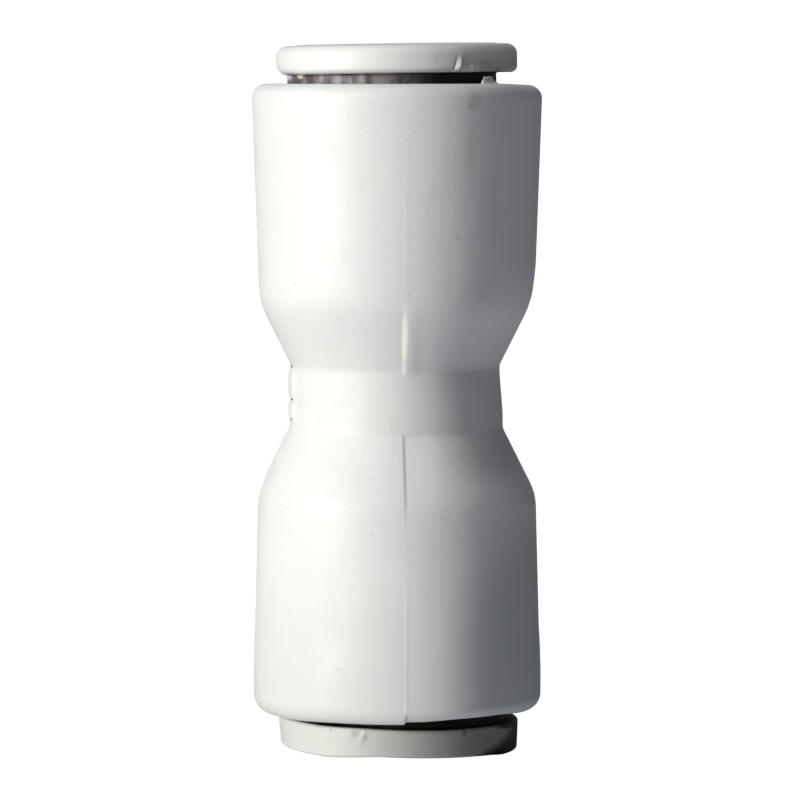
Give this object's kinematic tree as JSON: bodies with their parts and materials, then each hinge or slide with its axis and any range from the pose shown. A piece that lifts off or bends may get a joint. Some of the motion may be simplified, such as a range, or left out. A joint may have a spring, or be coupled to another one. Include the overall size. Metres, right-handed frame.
{
  "type": "push-fit coupling",
  "caption": "White straight push-fit coupling for plastic pipe, hourglass body with a sliding release collet at each end.",
  "frame": {"origin": "middle of the body, on the axis of the bore", "axes": "+Z along the bore towards the upper collet, +X towards the picture's right, -Y towards the viewer, -X towards the raised pad on the waist"},
  "size_m": [0.0216, 0.0216, 0.0526],
  "materials": {
    "body_plastic": "satin moulded white plastic with a slight haze of handling marks",
    "collet_plastic": "satin moulded white plastic, slightly warmer than the body",
    "inner_plastic": "satin moulded off-white plastic",
    "seal_rubber": "black moulded rubber with a film of grease",
    "tooth_steel": "stamped stainless steel"
  },
  "bodies": {
    "fitting_body": {"coupling_body": "body_plastic", "upper_o_ring": "seal_rubber", "lower_o_ring": "seal_rubber", "upper_cam_ring": "inner_plastic", "lower_cam_ring": "inner_plastic"},
    "upper_spacer": {"upper_spacer_washer": "inner_plastic"},
    "upper_collet_body": {"upper_collet": "collet_plastic", "upper_grab_tooth_1": "tooth_steel", "upper_grab_tooth_2": "tooth_steel", "upper_grab_tooth_3": "tooth_steel", "upper_grab_tooth_4": "tooth_steel", "upper_grab_tooth_5": "tooth_steel", "upper_grab_tooth_6": "tooth_steel"},
    "lower_spacer": {"lower_spacer_washer": "inner_plastic"},
    "lower_collet_body": {"lower_collet": "collet_plastic", "lower_grab_tooth_1": "tooth_steel", "lower_grab_tooth_2": "tooth_steel", "lower_grab_tooth_3": "tooth_steel", "lower_grab_tooth_4": "tooth_steel", "lower_grab_tooth_5": "tooth_steel", "lower_grab_tooth_6": "tooth_steel"}
  },
  "joints": [
    {"name": "upper_collet_turn", "type": "hinge", "parent": "fitting_body", "child": "upper_spacer", "pos_m": [0, 0, 0.012], "axis": [0, 0, 1], "continuous": true},
    {"name": "upper_collet_slide", "type": "slide", "parent": "upper_spacer", "child": "upper_collet_body", "axis": [0, 0, 1], "range_m": [-0.00055, 0.0015]},
    {"name": "lower_collet_turn", "type": "hinge", "parent": "fitting_body", "child": "lower_spacer", "pos_m": [0, 0, -0.012], "axis": [0, 0, -1], "continuous": true},
    {"name": "lower_collet_slide", "type": "slide", "parent": "lower_spacer", "child": "lower_collet_body", "axis": [0, 0, -1], "range_m": [-0.00025, 0.00095]}
  ]
}
